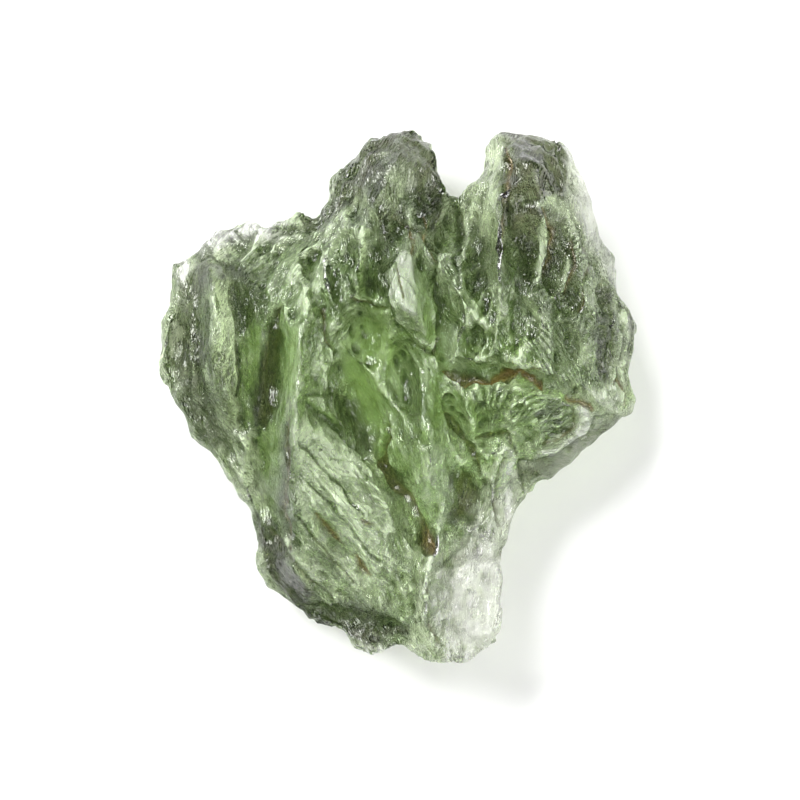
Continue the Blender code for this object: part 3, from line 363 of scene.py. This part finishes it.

# Places darkened with painted shade, which pass less light
PAINTED_SHADE_PLACES = {
    "centre lobe": ([(-1.6, 5.6), (-0.8, 6.7), (0.3, 7.0), (0.9, 6.0), (0.9, 4.9)], 0.90, 1.0),
    "centre lobe middle": ([(-0.7, 6.0), (-0.2, 5.2), (-0.3, 4.4)], 0.65, 0.95),
    "right face": ([(3.5, 7.9), (3.6, 6.6), (3.6, 5.4), (3.5, 4.2)], 0.85, 1.0),
    "right face edge": ([(4.3, 7.8), (4.4, 6.6), (4.5, 5.6)], 0.65, 1.0),
    "behind crescent 1": ([(4.35, 4.7), (4.3, 3.9), (4.1, 3.1)], 0.20, 1.0),
    "behind crescent 2": ([(4.95, 3.7), (4.85, 3.0), (4.5, 2.5)], 0.20, 0.9),
    "right shoulder": ([(4.3, 5.6), (4.6, 4.0), (5.0, 2.4)], 0.50, 0.9),
    "right lobe": ([(3.4, 7.8), (3.6, 5.8), (3.8, 3.4)], 1.15, 0.93),
    "right lobe foot": ([(2.6, 4.4), (3.2, 3.4), (4.4, 2.4)], 0.6, 0.6),
    "lower left rim": ([(-4.0, -3.4), (-3.5, -4.9), (-2.4, -6.2), (-0.6, -6.9)], 0.32, 1.0),
    "bevel": ([(4.8, 7.0), (5.1, 6.0), (5.4, 5.0), (5.75, 4.1), (6.1, 3.1)], 0.26, 0.25),
    "inner lobe": ([(2.2, 4.6), (2.3, 3.0)], 0.34, 0.7),
    "left arch": ([(-5.4, 3.9), (-5.5, 3.4), (-5.6, 2.9)], 0.40, 0.9),
    "left lobe": ([(-5.9, 3.2), (-5.9, 1.4), (-5.6, -0.2), (-5.2, -1.2)], 0.70, 0.88),
    "left lobe middle": ([(-5.0, 1.0), (-4.9, 0.0), (-4.8, -1.2)], 0.50, 0.6),
    "left lobe top": ([(-4.9, 3.6), (-4.3, 3.0), (-4.2, 2.1)], 0.60, 0.9),
    "left groove": ([(-3.5, 1.9), (-3.6, 0.8), (-3.8, -0.2), (-3.9, -0.8)], 0.36, 1.0),
    "left flank": ([(-3.6, -3.5), (-3.6, -4.0)], 0.34, 0.9),
    "column low": ([(-3.0, -0.9), (-3.0, -2.2), (-3.1, -3.4), (-2.9, -4.4)], 0.30, 0.8),
    "upper ribs": ([(-2.6, 4.9), (-2.0, 5.3), (-1.5, 6.0)], 0.34, 0.9),
    "rib valley 1": ([(-1.75, 3.4), (-1.7, 2.6), (-1.6, 2.1)], 0.20, 0.8),
    "rib valley 2": ([(-1.2, 3.3), (-1.25, 2.8)], 0.18, 0.6),
    "above the bowl": ([(-0.5, 4.6), (-0.45, 3.6), (-0.5, 2.9)], 0.26, 0.8),
    "leaf": ([(-1.9, 0.2), (-1.5, -0.3), (-1.15, -0.95), (-0.9, -1.4)], 0.34, 0.9),
    "second blade": ([(0.35, 0.9), (0.5, -0.2), (0.45, -1.2)], 0.34, 0.6),
    "dark knot": ([(-0.05, -2.1), (0.1, -2.5)], 0.26, 1.0),
    "brown corner": ([(0.6, -3.8), (0.85, -4.2)], 0.30, 1.0),
    "bottom": ([(-2.4, -6.0), (-1.0, -6.3), (0.1, -6.6)], 0.46, 1.0),
    "lens": ([(-3.3, -4.4), (-3.0, -5.0), (-2.4, -5.6)], 0.30, 0.7),
    "dark patch": ([(1.6, -2.2), (2.0, -2.8), (1.6, -3.5)], 0.40, 1.0),
    "right corner": ([(5.8, 2.9), (5.9, 1.6), (5.8, 0.5)], 0.40, 0.95),
    "lens dark": ([(-3.6, -3.8), (-3.2, -4.8), (-2.5, -5.6)], 0.26, 1.0),
    "plane dark": ([(-2.4, -4.0), (-2.0, -4.6), (-1.7, -4.9)], 0.12, 0.7),
    "right edge": ([(6.2, 2.9), (6.6, 2.0), (6.5, 0.9)], 0.20, 0.9),
    "body": ([(4.7, 2.2), (4.9, 1.3)], 0.40, 0.6),
    "ledge": ([(1.7, 0.65), (2.4, 0.5)], 0.20, 0.9),
    "shell dark": ([(4.3, -0.5), (4.2, -1.1)], 0.34, 0.8),
    "lower wall": ([(6.6, -0.6), (5.8, -1.0), (5.2, -1.45), (4.4, -2.0), (3.5, -2.2)], 0.40, 0.75),
    "fan shade": ([(3.95, -0.6), (4.3, -0.5), (4.5, -0.9)], 0.26, 0.9),
    "foot shade": ([(1.3, -4.6), (1.25, -5.4)], 0.20, 0.5),
}


def coordinates(mesh):
    flat = np.empty(len(mesh.vertices) * 3, np.float32)
    mesh.vertices.foreach_get("co", flat)
    return flat.reshape(-1, 3).astype(float)


def move_to(mesh, points):
    mesh.vertices.foreach_set("co", points.astype(np.float32).ravel())
    mesh.update()


def normals(mesh):
    flat = np.empty(len(mesh.vertices) * 3, np.float32)
    mesh.vertex_normals.foreach_get("vector", flat)
    return flat.reshape(-1, 3).astype(float)


def with_modifiers(mesh, steps):
    """The mesh after a chain of modifiers, each given as its type and its settings."""
    carrier = bpy.data.objects.new("carrier", mesh)
    bpy.context.scene.collection.objects.link(carrier)
    for kind, settings in steps:
        modifier = carrier.modifiers.new(kind, kind)
        for name, value in settings.items():
            setattr(modifier, name, value)
    bpy.context.view_layer.update()
    graph = bpy.context.evaluated_depsgraph_get()
    result = bpy.data.meshes.new_from_object(carrier.evaluated_get(graph))
    bpy.data.objects.remove(carrier)
    return result


def flow_angle(points):
    """The lean of the flow at each point, blended from the places where it is known."""
    total = np.zeros((len(points), 2))
    for x, y, lean in FLOW:
        weight = 1.0 / ((points[:, 0] - x) ** 2 + (points[:, 1] - y) ** 2 + 0.2) ** 2
        double = math.radians(2 * lean)
        total += weight[:, None] * np.array([math.sin(double), math.cos(double)])
    return np.arctan2(total[:, 0], total[:, 1]) / 2


def scallops(points, spacing, length, width, seed):
    """Long bowls in space that lie along the flow, up to 1 deep, with sharp rims where they meet."""
    chance = np.random.default_rng(seed)
    low, high = points.min(axis=0) - 1.0, points.max(axis=0) + 1.0
    sides = [np.arange(a, b, spacing) for a, b in zip(low, high)]
    sites = np.stack(np.meshgrid(*sides, indexing="ij"), axis=-1).reshape(-1, 3)
    sites += chance.uniform(-0.5, 0.5, sites.shape) * spacing
    deep = chance.uniform(0.4, 1.0, len(sites))
    tree = kdtree.KDTree(len(points))
    for index, point in enumerate(points):
        tree.insert(Vector(point), index)
    tree.balance()
    lean = flow_angle(sites)
    depth = np.zeros(len(points))
    for site, angle, full in zip(sites, lean, deep):
        near = [item[1] for item in tree.find_range(Vector(site), length)]
        if not near:
            continue
        offset = points[near] - site
        along = (offset[:, 0] * math.sin(angle) + offset[:, 1] * math.cos(angle)) / length
        across = (offset[:, 0] * math.cos(angle) - offset[:, 1] * math.sin(angle)) / width
        below = offset[:, 2] / width
        bowl = full * (1.0 - along ** 2 - across ** 2 - below ** 2)
        depth[near] = np.maximum(depth[near], bowl)
    return depth


def smoothed(mesh, values, rounds):
    """Values of the vertices after so many rounds of averaging with their neighbours."""
    ends = np.empty(len(mesh.edges) * 2, np.int32)
    mesh.edges.foreach_get("vertices", ends)
    first, second = ends[0::2], ends[1::2]
    count = np.bincount(ends, minlength=len(values))
    columns = []
    for column in values.T:
        for _ in range(rounds):
            total = np.bincount(first, column[second], len(column))
            total += np.bincount(second, column[first], len(column))
            column = 0.5 * column + 0.5 * total / count
        columns.append(column)
    return np.stack(columns, axis=1)


def standing_proud(mesh, points, out, rounds):
    """How far each vertex stands out of the surface averaged around it, less than 0 in a groove."""
    return ((points - smoothed(mesh, points, rounds)) * out).sum(axis=1)


def store(mesh, name, values):
    """Keep a number for each vertex, for the material to read."""
    layer = mesh.attributes.new(name, "FLOAT", "POINT")
    layer.data.foreach_set("value", values.astype(np.float32))


def store_places(mesh, name, places):
    """Keep three coordinates for each vertex, for the material to read."""
    layer = mesh.attributes.new(name, "FLOAT_VECTOR", "POINT")
    layer.data.foreach_set("vector", places.astype(np.float32).ravel())


def near_line(points, line, half_width):
    """1 on the line, falling smoothly to 0 at about its half width, and thinning to both ends."""
    line = np.array(line)
    starts, run = line[:-1], line[1:] - line[:-1]
    strength = np.zeros(len(points))
    low, high = line.min(axis=0) - 2 * half_width, line.max(axis=0) + 2 * half_width
    close = np.nonzero(((points > low) & (points < high)).all(axis=1))[0]
    offset = points[close, None, :] - starts[None, :, :]
    passed = np.clip((offset * run).sum(2) / (run * run).sum(1), 0.0, 1.0)
    gap = offset - passed[:, :, None] * run
    distance = np.sqrt((gap * gap).sum(2))
    nearest = distance.argmin(axis=1)
    rows = np.arange(len(close))
    along = (nearest + passed[rows, nearest]) / len(run)
    width = half_width * (0.5 + 0.5 * np.sin(np.pi * along))
    strength[close] = np.exp(-(distance[rows, nearest] / width) ** 2 * LINE_SHARPNESS)
    return strength


def wandering(points, seed):
    """The points shifted a little to and fro, so that no line looks drawn."""
    shift = np.empty((len(points), 2))
    for row, (x, y) in enumerate(points):
        shift[row, 0] = noise.noise(Vector((x / WANDER_LENGTH, y / WANDER_LENGTH, seed)))
        shift[row, 1] = noise.noise(Vector((x / WANDER_LENGTH + 40.0, y / WANDER_LENGTH, seed)))
    return points + WANDER * shift


def painted(points, strokes):
    """The strongest of the strokes at each point, from 0 to 1, even across their middles."""
    strength = np.zeros(len(points))
    for line, half_width, full in strokes.values():
        even = np.minimum(STROKE_FULLNESS * near_line(points, line, half_width), 1.0)
        strength = np.maximum(strength, full * even)
    return strength


def fan_lines(points):
    """Which ridge of a fan each point is on, counted from the fan's middle, and how strong the fan
    is there, from 0 outside it to 1."""
    count = np.zeros(len(points))
    strength = np.zeros(len(points))
    for x, y, lean, spread, bend, start, end, spacing, full in FANS.values():
        dx, dy = points[:, 0] - x, points[:, 1] - y
        radius = np.hypot(dx, dy)
        turn = np.degrees(np.arctan2(dx, dy)) - lean - bend * radius
        turn = (turn + 180.0) % 360.0 - 180.0
        inside = np.clip((spread - np.abs(turn)) / spacing, 0.0, 1.0)
        inside *= np.clip((end - radius) / FAN_FADE, 0.0, 1.0)
        inside *= np.clip((radius - start) / FAN_FADE, 0.0, 1.0)
        here = full * inside
        count = np.where(here > strength, turn / spacing, count)
        strength = np.maximum(strength, here)
    return count, strength


def grain_places(points, place):
    """Flat coordinates for the finest etching: across the flow and, shorter, along it, with the
    lean of the nearest place where the flow is known."""
    sites = np.array([(x, y) for x, y, _ in FLOW])
    leans = np.radians([lean for _, _, lean in FLOW])
    gap = place[:, None, :] - sites[None, :, :]
    lean = leans[(gap * gap).sum(2).argmin(axis=1)]
    x, y, z = points.T
    across = x * np.cos(lean) - y * np.sin(lean) + GRAIN_SLANT[0] * z
    along = x * np.sin(lean) + y * np.cos(lean) + GRAIN_SLANT[1] * z
    return np.stack([across, along / GRAIN_STRETCH, np.zeros(len(points))], axis=1)


def share(values, low, high):
    """0 where the values are at the first bound and 1 where they are at the second, or beyond."""
    return np.clip((values - low) / (high - low), 0.0, 1.0)


def crease_marks(place, front):
    """For each point: how much it is in a crease, how brown that is, and how deep it is cut."""
    crease = np.zeros(len(place))
    rust = np.zeros(len(place))
    cut = np.zeros(len(place))
    for line, half_width, depth, brown in CREASES.values():
        mark = near_line(place, line, half_width) * front
        crease = np.maximum(crease, mark)
        rust = np.maximum(rust, mark * brown)
        cut = np.maximum(cut, mark * depth)
    return crease, rust, cut


def etched_points(points, out, clear, cut):
    """The points with the bowls and the creases cut in, kept inside the box that they came in."""
    relief = np.zeros(len(points))
    for spacing, length, half_width, depth, loss, seed in BOWLS.values():
        relief += depth * scallops(points, spacing, length, half_width, seed) * (1.0 - loss * clear)
    relief += cut
    free = np.clip((points[:, 2] - RELIEF_START) / RELIEF_GROWTH, 0.0, 1.0)
    moved = points - out * ((relief - RIM) * free)[:, None]
    return np.clip(moved, points.min(axis=0), points.max(axis=0))


def fine_mesh(cad_mesh):
    """The CAD solid's surface, smoothed over its facets and covered with fine etching."""
    mesh = cad_mesh.copy()
    move_to(mesh, coordinates(mesh) / MM)
    mesh = with_modifiers(mesh, [
        ("REMESH", {"mode": "VOXEL", "voxel_size": GRAIN, "adaptivity": 0.0}),
        ("SMOOTH", SMOOTHING),
    ])
    points = coordinates(mesh)
    out = normals(mesh)
    front = np.clip(out[:, 2] / FRONT_TURN + FRONT_OF_STEEP, 0.0, 1.0)
    place = wandering(points[:, :2], seed=1.5)
    crease, rust, cut = crease_marks(place, front)
    fan, fan_strength = fan_lines(place)
    # Masks of the front: frost with a painted sheen, smooth places, and places of painted shade
    frost_and_sheen = painted(place, FROST_AND_SHEEN) * front
    clear = painted(place, SMOOTH) * front
    painted_shade = painted(place, PAINTED_SHADE_PLACES) * front

    points = etched_points(points, out, clear, cut)
    move_to(mesh, points)
    out = normals(mesh)
    fine = standing_proud(mesh, points, out, FINE_ROUNDS) / FINE_PROUD
    broad = standing_proud(mesh, points, out, BROAD_ROUNDS) / BROAD_PROUD
    etched = 1.0 - SMOOTH_LOSES_ETCHING * clear
    # Painted shade in creases and in the hollows of the relief, less in frosted places
    open_hollow = 0.75 * share(fine, 0.0, -1.5) + 0.35 * share(broad, 0.2, -1.6)
    hollow = np.maximum(0.95 * crease, open_hollow * (1.0 - FROST_AND_SHEEN_LOSE_SHADE * frost_and_sheen))
    ridge = 0.45 * share(broad, 0.2, 1.6) + 0.50 * share(fine, 0.3, 1.8)
    store(mesh, "hollow", np.minimum(hollow, 1.0))
    store(mesh, "rust", rust)
    # Painted sheen on the ridges and glints on the chips, both lost under painted shade
    store(mesh, "ridge", ridge * etched * (1.0 - SHADE_LOSES_RIDGE_SHEEN * painted_shade))
    store(mesh, "etched", etched)
    store(mesh, "speckle", etched * (1.0 - SHADE_LOSES_CHIP_GLINTS * painted_shade))
    store(mesh, "shading", etched * (1.0 - FROST_AND_SHEEN_LOSE_SHADE * frost_and_sheen))
    store(mesh, "frost_and_sheen", frost_and_sheen)
    store(mesh, "painted_shade", painted_shade)
    store(mesh, "vivid", painted(place, VIVID) * front)
    store(mesh, "bare", painted(place, COLOURLESS) * front)
    store(mesh, "fan", fan)
    store(mesh, "fan_strength", fan_strength * front * (1.0 - SMOOTH_LOSES_FANS * clear))
    store_places(mesh, "grain", grain_places(points, place))
    triangles = 2 * len(mesh.polygons)
    if triangles > TRIANGLES:
        mesh = with_modifiers(mesh, [("DECIMATE", {"ratio": TRIANGLES / triangles})])
    move_to(mesh, coordinates(mesh) * MM)
    mesh.shade_smooth()
    return mesh


class Tree:
    """A short way to lay out a material's nodes."""

    def __init__(self, material):
        material.use_nodes = True
        self.nodes = material.node_tree.nodes
        self.links = material.node_tree.links
        self.shader = self.nodes["Principled BSDF"]
        self.output = self.nodes["Material Output"]

    def feed(self, socket, value):
        """Link a socket to another's output, or give it a plain value."""
        if isinstance(value, bpy.types.NodeSocket):
            self.links.new(value, socket)
        else:
            socket.default_value = value

    def attribute(self, name):
        """A number kept for each vertex."""
        node = self.nodes.new("ShaderNodeAttribute")
        node.attribute_name = name
        return node.outputs["Fac"]

    def math(self, operation, first, second=0.0, clamp=False):
        node = self.nodes.new("ShaderNodeMath")
        node.operation = operation
        node.use_clamp = clamp
        self.feed(node.inputs[0], first)
        self.feed(node.inputs[1], second)
        return node.outputs["Value"]

    def spread(self, value, low, high, to_low=0.0, to_high=1.0):
        """The value carried over from one range to another, and no further than its ends."""
        node = self.nodes.new("ShaderNodeMapRange")
        self.links.new(value, node.inputs["Value"])
        node.inputs["From Min"].default_value = low
        node.inputs["From Max"].default_value = high
        node.inputs["To Min"].default_value = to_low
        node.inputs["To Max"].default_value = to_high
        return node.outputs["Result"]

    def mix(self, amount, first, second):
        """The first colour, going over to the second as the amount goes from 0 to 1."""
        # The node's colour sockets are inputs 6 and 7 and output 2
        node = self.nodes.new("ShaderNodeMix")
        node.data_type = "RGBA"
        self.feed(node.inputs["Factor"], amount)
        self.feed(node.inputs[6], first)
        self.feed(node.inputs[7], second)
        return node.outputs[2]

    def cells(self, place, scale):
        """Flat cells with sharp borders: the distance from each one's middle and two tones of it."""
        source = self.nodes.new("ShaderNodeAttribute")
        source.attribute_name = place
        node = self.nodes.new("ShaderNodeTexVoronoi")
        node.voronoi_dimensions = "2D"
        node.inputs["Scale"].default_value = scale
        self.links.new(source.outputs["Vector"], node.inputs["Vector"])
        split = self.nodes.new("ShaderNodeSeparateColor")
        self.links.new(node.outputs["Color"], split.inputs["Color"])
        return node.outputs["Distance"], split.outputs["Red"], split.outputs["Green"]


def glass():
    """Moldavite glass: bottle green by depth, pale with frost and a painted sheen on its ridges, and dark
    with painted shade in its creases.
    """
    material = bpy.data.materials.new("moldavite_glass")
    tree = Tree(material)
    shader = tree.shader
    shader.inputs["Metallic"].default_value = 0.0
    shader.inputs["IOR"].default_value = GLASS_IOR
    depth = tree.nodes.new("ShaderNodeVolumeAbsorption")
    depth.inputs["Color"].default_value = DEPTH_COLOUR
    depth.inputs["Density"].default_value = DEPTH_DENSITY
    tree.links.new(depth.outputs["Volume"], tree.output.inputs["Volume"])

    etched, speckle = tree.attribute("etched"), tree.attribute("speckle")
    bare = tree.attribute("bare")
    fan = tree.attribute("fan_strength")
    _, facet_tone, facet_gloss = tree.cells("grain", FACETS_PER_MM)
    chip_reach, chip_tone, chip_gloss = tree.cells("grain", CHIPS_PER_MM)

    # Across a fan, the line goes from 0 in the gaps to 0.5 on the ribs, with uneven edges
    line = tree.math("PINGPONG", tree.attribute("fan"), 0.5)
    line = tree.math("ADD", line, tree.spread(chip_tone, 0.0, 1.0, -0.12, 0.12))
    gap = tree.math("MULTIPLY", tree.spread(line, 0.26, 0.12, 0.0, 0.85), fan)
    rib = tree.math("MULTIPLY", tree.spread(line, 0.30, 0.45, 0.0, 0.80), fan)

    # Painted shade: creases, hollows, the gaps between ribs and a few pitted chips
    pitted = tree.math("MULTIPLY", tree.spread(chip_tone, 0.86, 0.95, 0.0, 0.50), etched)
    dark = tree.math("MAXIMUM", tree.attribute("hollow"), tree.math("MAXIMUM", gap, pitted))

    # Shaded: about half of the facets, some more than others
    shade = tree.math("MULTIPLY", tree.spread(facet_tone, 0.0, 0.55, 0.70, 0.0),
                      tree.attribute("shading"))

    # Pale, with a painted highlight: ridges, ribs, some of the facets and chips, and frosted places, which
    # are partly real frost
    glints = tree.math("ADD", tree.spread(facet_gloss, 0.60, 0.80, 0.0, 0.35),
                       tree.spread(chip_gloss, 0.80, 0.92, 0.0, 0.5))
    ridge = tree.math("ADD", tree.attribute("ridge"), tree.math("MULTIPLY", glints, speckle))
    frost_and_sheen = tree.math("MULTIPLY", tree.attribute("frost_and_sheen"), tree.spread(facet_tone, 0.1, 0.5, 0.65, 1.0))
    pale = tree.math("MAXIMUM", tree.math("MAXIMUM", frost_and_sheen, ridge), rib, clamp=True)
    pale = tree.math("MULTIPLY", pale, tree.math("SUBTRACT", 1.0, dark), clamp=True)

    body = tree.mix(tree.attribute("vivid"), GREEN, VIVID_GREEN)
    body = tree.mix(bare, body, WATER_CLEAR)
    body = tree.mix(shade, body, SHADED)
    # Painted shade darkens the places listed for it
    body = tree.mix(tree.attribute("painted_shade"), body, PAINTED_SHADE_COLOUR)
    # Pale frost and painted sheen laid over the body
    body = tree.mix(pale, body, tree.mix(bare, FROST_AND_SHEEN_GREEN, FROST_AND_SHEEN_WHITE))
    # Painted shade in creases and hollows, mixed with rust where the creases are brown
    crease_shade_and_rust = tree.mix(tree.attribute("rust"), CREASE_SHADE, RUST)
    tree.feed(shader.inputs["Base Color"], tree.mix(dark, body, crease_shade_and_rust))
    tree.feed(shader.inputs["Transmission Weight"], tree.spread(pale, 0.0, 1.0, 1.0, FROSTED_TRANSMISSION))
    rough = tree.math("ADD", tree.spread(pale, 0.0, 1.0, CLEAR_ROUGHNESS, FROSTED_ROUGHNESS),
                      tree.spread(chip_gloss, 0.0, 1.0, 0.0, CHIP_ROUGHNESS))
    tree.feed(shader.inputs["Roughness"], rough)

    height = tree.math("MULTIPLY", chip_reach, etched)
    fan_height = tree.math("MULTIPLY", tree.math("MULTIPLY", line, fan), FAN_RELIEF)
    height = tree.math("ADD", height, fan_height)
    bump = tree.nodes.new("ShaderNodeBump")
    bump.inputs["Distance"].default_value = CHIP_RELIEF * MM
    bump.inputs["Strength"].default_value = BUMP_STRENGTH
    tree.feed(bump.inputs["Height"], height)
    tree.links.new(bump.outputs["Normal"], shader.inputs["Normal"])
    return material


def stone():
    """The stone's surface in place of the CAD solid's."""
    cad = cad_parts["moldavite"]
    piece = bpy.data.objects.new("moldavite_stone", fine_mesh(cad.data))
    bpy.context.scene.collection.objects.link(piece)
    piece.data.materials.clear()
    piece.data.materials.append(glass())
    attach(piece, "root")
    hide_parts("moldavite")


def floor():
    """The plain pale surface that the stone rests on."""
    half = FLOOR_HALF
    corners = [(-half, -half, 0), (half, -half, 0), (half, half, 0), (-half, half, 0)]
    mesh = bpy.data.meshes.new("floor")
    mesh.from_pydata(corners, [], [(0, 1, 2, 3)])
    piece = bpy.data.objects.new("floor", mesh)
    bpy.context.scene.collection.objects.link(piece)
    material = bpy.data.materials.new("floor_white")
    material.use_nodes = True
    shader = material.node_tree.nodes["Principled BSDF"]
    shader.inputs["Base Color"].default_value = FLOOR_WHITE
    shader.inputs["Roughness"].default_value = FLOOR_ROUGHNESS
    mesh.materials.append(material)


def square_lamp(name, place, width, power):
    """A square lamp that faces the stone."""
    light = bpy.data.lights.new(name, "AREA")
    light.shape = "SQUARE"
    light.size = width
    light.energy = power
    lamp = bpy.data.objects.new(name, light)
    lamp.location = place
    lamp.rotation_euler = (-Vector(place)).to_track_quat("-Z", "Y").to_euler()
    bpy.context.scene.collection.objects.link(lamp)


def studio():
    """Soft light from above, dimmer towards the horizon."""
    world = bpy.data.worlds.new("studio")
    world.use_nodes = True
    nodes, links = world.node_tree.nodes, world.node_tree.links
    direction = nodes.new("ShaderNodeTexCoord")
    split = nodes.new("ShaderNodeSeparateXYZ")
    links.new(direction.outputs["Generated"], split.inputs["Vector"])
    fade = nodes.new("ShaderNodeMapRange")
    fade.inputs["From Min"].default_value = 0.0
    fade.inputs["From Max"].default_value = SKY_HEIGHT
    fade.inputs["To Min"].default_value = SKY_LOW
    fade.inputs["To Max"].default_value = SKY_HIGH
    links.new(split.outputs["Z"], fade.inputs["Value"])
    links.new(fade.outputs["Result"], nodes["Background"].inputs["Strength"])
    nodes["Background"].inputs["Color"].default_value = (1.0, 1.0, 1.0, 1.0)
    bpy.context.scene.world = world
    for name, (place, width, power) in LAMPS.items():
        square_lamp(name, place, width, power)


def camera():
    """Straight above the stone, framed as the photograph is."""
    field = PHOTO_PIXELS * PHOTO_MM_PER_PIXEL * MM
    middle = PHOTO_PIXELS / 2
    lens = bpy.data.cameras.new("camera")
    lens.sensor_width = 36.0
    lens.lens = lens.sensor_width * CAMERA_DISTANCE / field
    lens.clip_start = 0.005
    eye = bpy.data.objects.new("camera", lens)
    x = (middle - STONE_CENTRE_PIXEL[0]) * PHOTO_MM_PER_PIXEL * MM
    y = (STONE_CENTRE_PIXEL[1] - middle) * PHOTO_MM_PER_PIXEL * MM
    eye.location = (x, y, CAMERA_DISTANCE + STONE_MIDDLE)
    bpy.context.scene.collection.objects.link(eye)
    bpy.context.scene.camera = eye


stone()
floor()
studio()
camera()
bpy.context.scene.view_settings.view_transform = "Standard"
bpy.context.scene.cycles.max_bounces = LIGHT_BOUNCES
bpy.context.scene.cycles.transmission_bounces = LIGHT_BOUNCES
